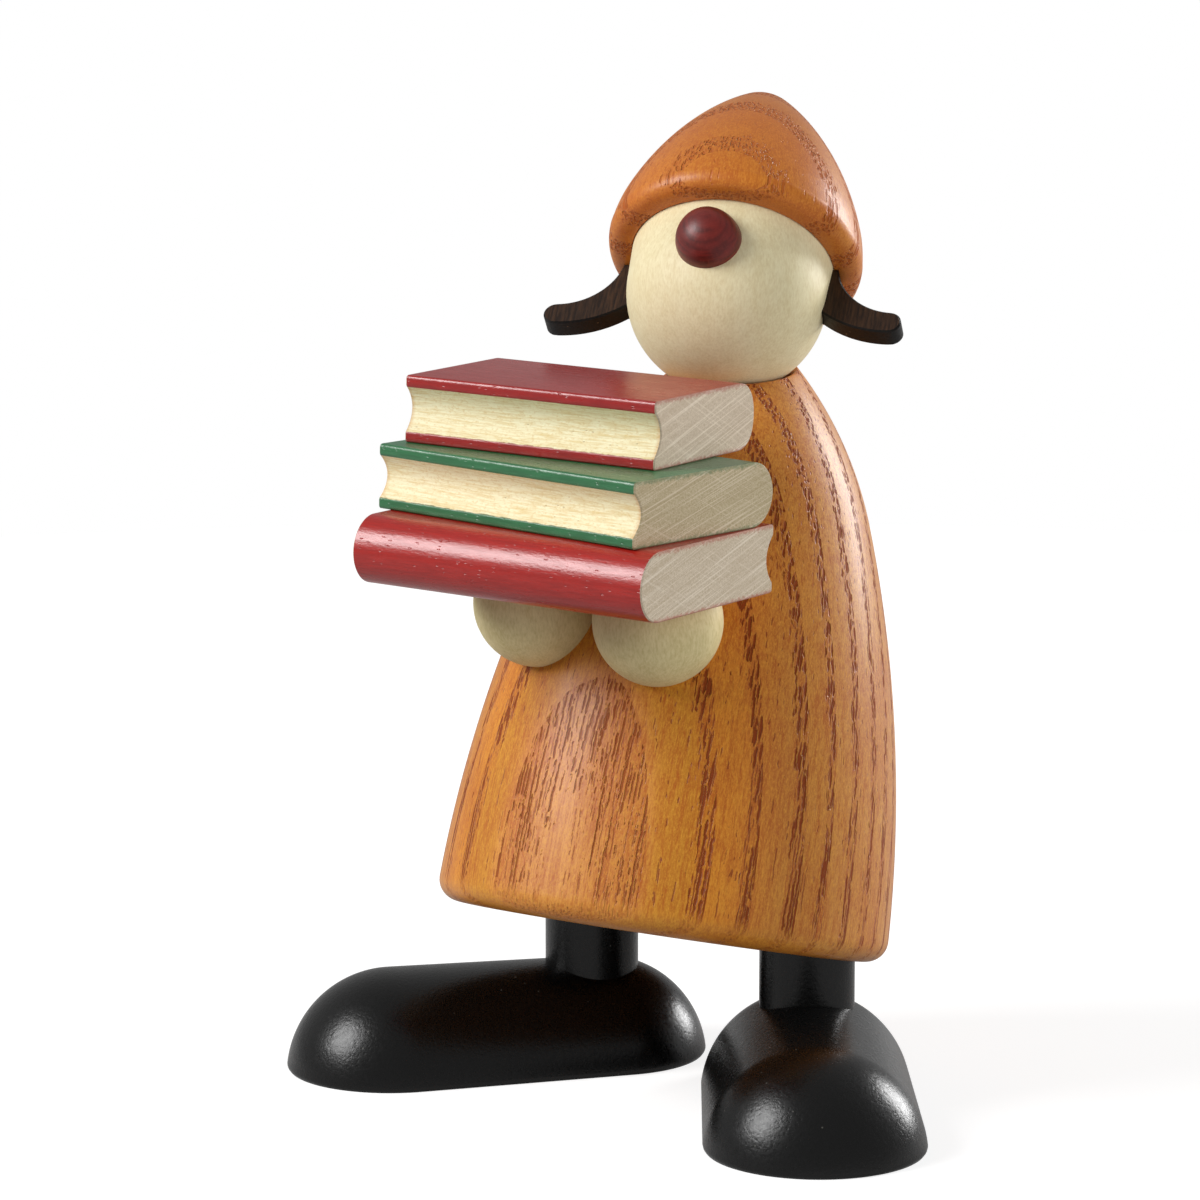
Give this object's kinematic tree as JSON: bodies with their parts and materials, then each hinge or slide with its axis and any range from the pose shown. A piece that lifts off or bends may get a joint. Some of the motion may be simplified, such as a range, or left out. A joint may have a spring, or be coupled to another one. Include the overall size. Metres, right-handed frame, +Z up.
{
  "type": "wooden figurine with books",
  "caption": "Turned wooden figurine of a child in a long coat and pointed cap, looking up and carrying a pile of books on its ball hands; the head turns on a dowel.",
  "frame": {"origin": "on the floor under the middle of the figure's bounding box", "axes": "+Z up, -Y the way the figure faces, +X to the figure's left"},
  "size_m": [0.0817, 0.0678, 0.109],
  "materials": {
    "coat_wood": "amber-stained open-pored wood, satin lacquer",
    "cap_wood": "amber-stained open-pored wood, satin lacquer",
    "face_wood": "pale close-grained wood, satin",
    "hand_wood": "pale close-grained wood, matt",
    "dowel_wood": "plain pale wood",
    "nose_wood": "red-brown stained wood, satin",
    "hair_wood": "dark brown wood, satin",
    "red_book": "red paint on pale wood, bare sawn ends",
    "green_book": "green paint on pale wood, bare sawn ends",
    "black_wood": "black paint, satin"
  },
  "bodies": {
    "figure": {"coat": "coat_wood", "neck_dowel": "dowel_wood", "hand_left": "hand_wood", "hand_right": "hand_wood", "book_bottom": "red_book", "book_middle": "green_book", "book_top": "red_book", "leg_left": "black_wood", "leg_right": "black_wood", "shoe_left": "black_wood", "shoe_right": "black_wood"},
    "head": {"head": "face_wood", "cap": "cap_wood", "nose": "nose_wood", "pigtail_left": "hair_wood", "pigtail_right": "hair_wood"}
  },
  "joints": [
    {"name": "head_swivel", "type": "hinge", "parent": "figure", "child": "head", "pos_m": [0, 0.01369, 0.08], "axis": [0, 0, 1], "continuous": true}
  ]
}
